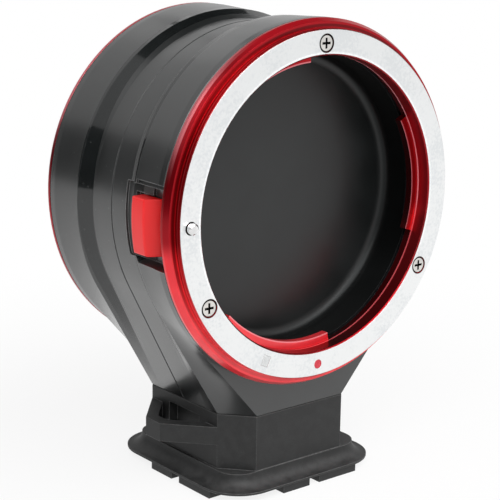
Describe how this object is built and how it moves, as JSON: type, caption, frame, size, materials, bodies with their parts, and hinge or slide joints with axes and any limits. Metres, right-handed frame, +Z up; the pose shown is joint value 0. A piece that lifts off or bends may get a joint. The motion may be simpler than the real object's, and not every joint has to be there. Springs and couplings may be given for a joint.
{
  "type": "double lens holder",
  "caption": "Back-to-back bayonet sockets in a waisted round housing on a short neck, with a strap-loop foot that slides into a clip, to carry spare camera lenses.",
  "frame": {"origin": "on the ground under the middle of the foot, where the socket axis and the middle plane cross seen from above", "axes": "+Z up, the front socket faces -Y and the rear socket +Y, +X to the right seen from the front"},
  "size_m": [0.0668, 0.0428, 0.0874],
  "materials": {
    "shell_black": "satin",
    "foot_black": "matt",
    "ring_red": "red anodised edge, machined bare face",
    "screw_steel": "plain",
    "spring_steel": "plain",
    "pin_steel": "polished",
    "button_red": "semi gloss",
    "mark_red": "paint fill",
    "mark_grey": "paint fill"
  },
  "bodies": {
    "holder": {"front_shell": "shell_black", "rear_shell": "shell_black", "strap_foot": "foot_black", "foot_screws": "screw_steel", "shell_screws": "screw_steel", "front_mount_ring": "ring_red", "front_mount_screws": "screw_steel", "front_bayonet_spring": "spring_steel", "front_return_spring": "spring_steel", "front_index_dot": "mark_red", "front_index_square": "mark_grey", "rear_mount_ring": "ring_red", "rear_mount_screws": "screw_steel", "rear_bayonet_spring": "spring_steel", "rear_return_spring": "spring_steel", "rear_index_dot": "mark_red", "rear_index_square": "mark_grey"},
    "front_release": {"front_release_button": "button_red", "front_lock_pin": "pin_steel"},
    "rear_release": {"rear_release_button": "button_red", "rear_lock_pin": "pin_steel"}
  },
  "joints": [
    {"name": "front_release_slide", "type": "slide", "parent": "holder", "child": "front_release", "axis": [0, 1, 0], "range_m": [0, 0.0013], "stiffness_N_per_m": 400, "springref_m": -0.002, "deforming": ["front_return_spring"]},
    {"name": "rear_release_slide", "type": "slide", "parent": "holder", "child": "rear_release", "axis": [0, -1, 0], "range_m": [0, 0.0013], "stiffness_N_per_m": 400, "springref_m": -0.002, "deforming": ["rear_return_spring"]}
  ]
}
